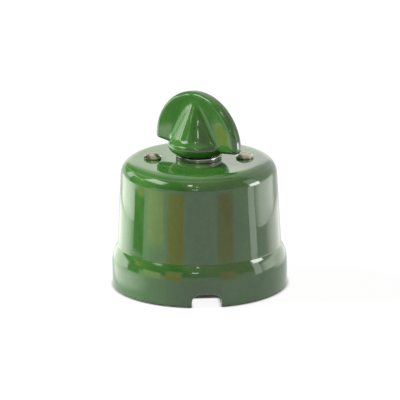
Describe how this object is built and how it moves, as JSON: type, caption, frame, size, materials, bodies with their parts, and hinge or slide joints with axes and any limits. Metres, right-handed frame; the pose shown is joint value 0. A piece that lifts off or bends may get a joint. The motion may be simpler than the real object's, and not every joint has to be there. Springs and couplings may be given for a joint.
{
  "type": "porcelain rotary switch",
  "caption": "Round surface-mounted rotary light switch with a green-glazed porcelain cover and turn knob over a white base with terminals and a quarter-turn detent.",
  "frame": {"origin": "middle of the mounting face, on the spindle axis", "axes": "+Z along the spindle from the wall to the knob, +X through the cover screws, -Y towards the cable notch"},
  "size_m": [0.065, 0.065, 0.0736],
  "materials": {
    "green_glaze": "gloss transparent green glaze",
    "white_porcelain": "white porcelain with an unglazed foot",
    "plated_metal": "bright plated",
    "screw_nickel": "nickelled brass, lightly tarnished",
    "brass": "turned brass",
    "screw_steel": "zinc plated",
    "spring_steel": "blued spring steel",
    "insulating_moulding": "brown thermoset moulding"
  },
  "bodies": {
    "housing": {"cover": "green_glaze", "base": "white_porcelain", "spindle_bush": "plated_metal", "cover_screws": "screw_nickel", "bush_nut": "brass", "bridge": "screw_steel", "detent_spring": "spring_steel", "pillar_screws": "screw_steel", "block_screws": "screw_steel", "contact_screws": "brass", "clamp_screws": "brass", "lower_pillar_right": "brass", "lower_pillar_left": "brass", "upper_pillar_right": "brass", "upper_pillar_left": "brass", "terminal_block_line": "brass", "terminal_block_load": "brass", "lower_leaf_line": "brass", "lower_leaf_load": "brass", "upper_leaf_line": "brass", "upper_leaf_load": "brass"},
    "turn_knob": {"knob": "green_glaze", "knob_insert": "brass", "spindle": "screw_steel", "lower_carrier": "insulating_moulding", "upper_carrier": "insulating_moulding", "contact_bar": "brass", "detent_cam": "screw_steel", "thrust_washer": "screw_steel", "retaining_clip": "spring_steel"}
  },
  "joints": [
    {"name": "knob_turn", "type": "hinge", "parent": "housing", "child": "turn_knob", "pos_m": [0, 0, 0.05], "axis": [0, 0, 1], "continuous": true, "deforming": ["detent_spring"]}
  ]
}
